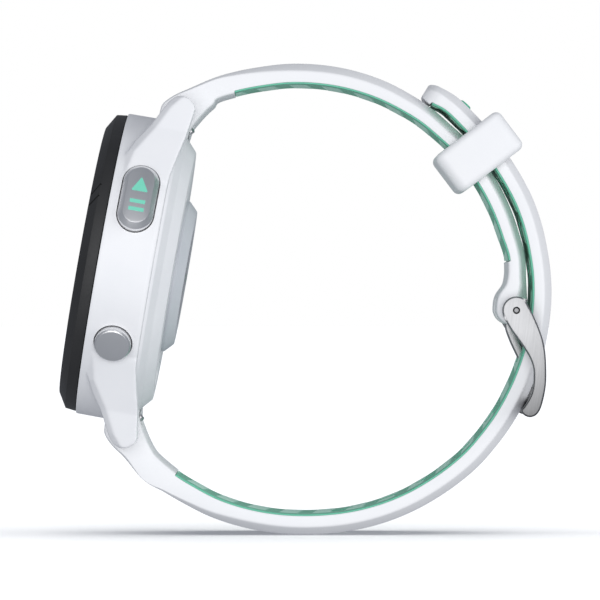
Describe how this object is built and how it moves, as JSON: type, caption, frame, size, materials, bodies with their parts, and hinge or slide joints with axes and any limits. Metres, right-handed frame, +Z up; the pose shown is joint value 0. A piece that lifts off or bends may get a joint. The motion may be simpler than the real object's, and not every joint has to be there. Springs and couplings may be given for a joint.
{
  "type": "gps running watch",
  "caption": "Small running watch: round case, metal side buttons, optical sensor on the back, and a two-colour silicone strap closed by a pin buckle and keeper loop, standing on the strap.",
  "frame": {"origin": "centre of the footprint, on the surface that the strap stands on", "axes": "+Z up; the strap loop lies in the XZ plane with the wrist axis along Y; the display faces -X, leaning ten degrees; three o'clock is -Y"},
  "size_m": [0.0676, 0.0434, 0.0645],
  "materials": {
    "case_shell": "satin white moulded polymer",
    "back_shell": "fine matte light grey polymer",
    "bump_shell": "smooth grey polymer",
    "bezel_polymer": "fine-textured matte black fibre-reinforced polymer",
    "lens": "clear chemically strengthened glass over a dark surround",
    "display": "reflective memory-in-pixel display",
    "sensor_window": "dark tinted sensor window",
    "seal_rubber": "black elastomer",
    "frame_polymer": "black moulded polymer",
    "board": "solder-masked laminate",
    "battery_foil": "laminated foil pouch",
    "steel": "fine brushed stainless steel",
    "button_metal": "satin blasted stainless steel",
    "contact_gold": "gold plating",
    "strap_silicone": "soft-touch white silicone with a fine raised texture",
    "liner_silicone": "mint green silicone with slanted pads"
  },
  "bodies": {
    "case": {"case_midframe": "case_shell", "bezel": "bezel_polymer", "lens_glass": "lens", "lens_gasket": "seal_rubber", "display_panel": "display", "back_cover": "back_shell", "case_gasket": "seal_rubber", "sensor_housing": "bump_shell", "sensor_glass": "sensor_window", "sensor_board": "board", "chassis": "frame_polymer", "main_board": "board", "battery": "battery_foil", "antenna_ring": "contact_gold", "buzzer": "contact_gold", "motor_can": "steel", "spring_bar_upper": "steel", "spring_bar_lower": "steel", "strap_short": "strap_silicone", "strap_long": "strap_silicone", "liner_short": "liner_silicone", "liner_long": "liner_silicone", "keeper_stop_nub": "liner_silicone", "buckle_pin": "steel", "back_screw_1": "steel", "charge_contact_1": "contact_gold", "back_screw_2": "steel", "charge_contact_2": "contact_gold", "back_screw_3": "steel", "charge_contact_3": "contact_gold", "back_screw_4": "steel", "charge_contact_4": "contact_gold", "start_switch": "frame_polymer", "back_switch": "frame_polymer", "light_switch": "frame_polymer", "up_switch": "frame_polymer", "down_switch": "frame_polymer"},
    "start_key": {"start_button": "button_metal", "start_button_seal": "seal_rubber", "start_button_clip": "steel"},
    "back_key": {"back_button": "button_metal", "back_button_seal": "seal_rubber", "back_button_clip": "steel"},
    "light_key": {"light_button": "button_metal", "light_button_seal": "seal_rubber", "light_button_clip": "steel"},
    "up_key": {"up_button": "button_metal", "up_button_seal": "seal_rubber", "up_button_clip": "steel"},
    "down_key": {"down_button": "button_metal", "down_button_seal": "seal_rubber", "down_button_clip": "steel"},
    "release_upper": {"quick_release_lever_upper": "steel"},
    "release_lower": {"quick_release_lever_lower": "steel"},
    "keeper": {"keeper": "strap_silicone"},
    "buckle": {"buckle_frame": "steel"},
    "tongue": {"buckle_tongue": "steel"},
    "motor_rotor": {"motor_weight": "steel"}
  },
  "joints": [
    {"name": "start_press", "type": "slide", "parent": "case", "child": "start_key", "axis": [-0.0788, 0.891, -0.4471], "range_m": [0, 0.0005], "stiffness_N_per_m": 500, "springref_m": -0.0008},
    {"name": "back_press", "type": "slide", "parent": "case", "child": "back_key", "axis": [0.0855, 0.8704, 0.4849], "range_m": [0, 0.0005], "stiffness_N_per_m": 500, "springref_m": -0.0008},
    {"name": "light_press", "type": "slide", "parent": "case", "child": "light_key", "axis": [-0.0868, -0.866, -0.4924], "range_m": [0, 0.0005], "stiffness_N_per_m": 500, "springref_m": -0.0008},
    {"name": "up_press", "type": "slide", "parent": "case", "child": "up_key", "axis": [0, -1, 0], "range_m": [0, 0.0005], "stiffness_N_per_m": 500, "springref_m": -0.0008},
    {"name": "down_press", "type": "slide", "parent": "case", "child": "down_key", "axis": [0.0868, -0.866, 0.4924], "range_m": [0, 0.0005], "stiffness_N_per_m": 500, "springref_m": -0.0008},
    {"name": "release_upper_slide", "type": "slide", "parent": "case", "child": "release_upper", "axis": [0, 1, 0], "range_m": [0, 0.0013], "stiffness_N_per_m": 400, "springref_m": -0.001},
    {"name": "release_lower_slide", "type": "slide", "parent": "case", "child": "release_lower", "axis": [0, 1, 0], "range_m": [0, 0.0013], "stiffness_N_per_m": 400, "springref_m": -0.001},
    {"name": "keeper_slide", "type": "hinge", "parent": "case", "child": "keeper", "pos_m": [0.0016, 0, 0.0353], "axis": [0, -1, 0], "range_deg": [-12, 3]},
    {"name": "buckle_frame_hinge", "type": "hinge", "parent": "case", "child": "buckle", "pos_m": [0.02877, 0, 0.03073], "axis": [0, -1, 0], "range_deg": [0, 4]},
    {"name": "buckle_tongue_hinge", "type": "hinge", "parent": "case", "child": "tongue", "pos_m": [0.02877, 0, 0.03073], "axis": [0, -1, 0], "range_deg": [0, 4]},
    {"name": "motor_spin", "type": "hinge", "parent": "case", "child": "motor_rotor", "pos_m": [-0.02239, 0, 0.02769], "axis": [0.9848, 0, -0.1736], "continuous": true}
  ],
  "couplings": [
    {"joint": "buckle_tongue_hinge", "follows": "buckle_frame_hinge", "ratio": 1}
  ]
}
